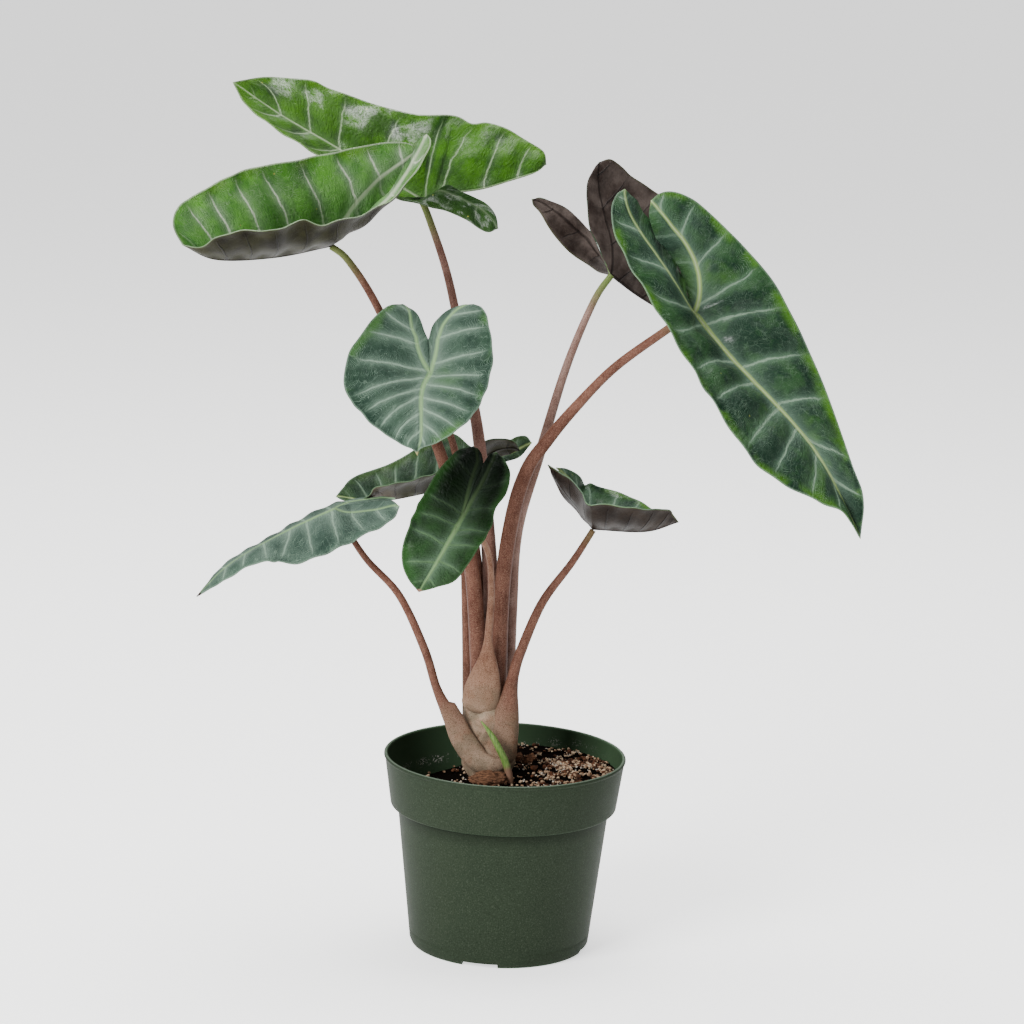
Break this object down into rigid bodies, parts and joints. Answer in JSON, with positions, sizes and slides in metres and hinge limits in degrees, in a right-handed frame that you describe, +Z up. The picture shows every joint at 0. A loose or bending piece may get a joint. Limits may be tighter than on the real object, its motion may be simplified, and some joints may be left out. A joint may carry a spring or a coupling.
{
  "type": "potted pink dragon alocasia",
  "caption": "Arrow-leaved tropical house plant with rose-brown leaf stalks, growing from a short corm in a round tapered nursery pot filled with bark mix.",
  "frame": {"origin": "on the pot's axis at the plane the pot stands on", "axes": "+Z up along the pot's axis; the picture looks along +Y, with +X to the right"},
  "size_m": [0.4506, 0.2768, 0.5821],
  "materials": {
    "blade_bright": "fresh glossy green leaf with pale raised veins above, dull purple-brown below",
    "blade_dark": "glossy blackish green leaf with silvery veins above, dull purple-brown below",
    "blade_silver": "satin grey-green leaf with silvery net of veins above, dull purple-brown below",
    "petiole": "smooth satin rose-brown stalk, green where it meets the blade",
    "corm": "dull tan papery bark with ring scars",
    "shoot": "smooth satin yellow-green",
    "bark": "rough matt brown bark",
    "soil": "matt moist peat with tan bark and pale perlite grains",
    "pot": "fine-grained satin dark green moulded plastic"
  },
  "bodies": {
    "root": {"blade_high_back": "blade_bright", "blade_high_left": "blade_bright", "blade_right_back": "blade_dark", "blade_right_front": "blade_dark", "blade_heart": "blade_silver", "blade_low_front": "blade_dark", "blade_low_left": "blade_silver", "blade_mid_back": "blade_dark", "blade_low_right": "blade_dark", "petiole_high_back": "petiole", "petiole_high_left": "petiole", "petiole_right_back": "petiole", "petiole_right_front": "petiole", "petiole_heart": "petiole", "petiole_low_front": "petiole", "petiole_low_left": "petiole", "petiole_mid_back": "petiole", "petiole_low_right": "petiole", "corm": "corm", "shoot": "shoot", "bark": "bark", "soil": "soil", "pot": "pot"}
  },
  "joints": []
}
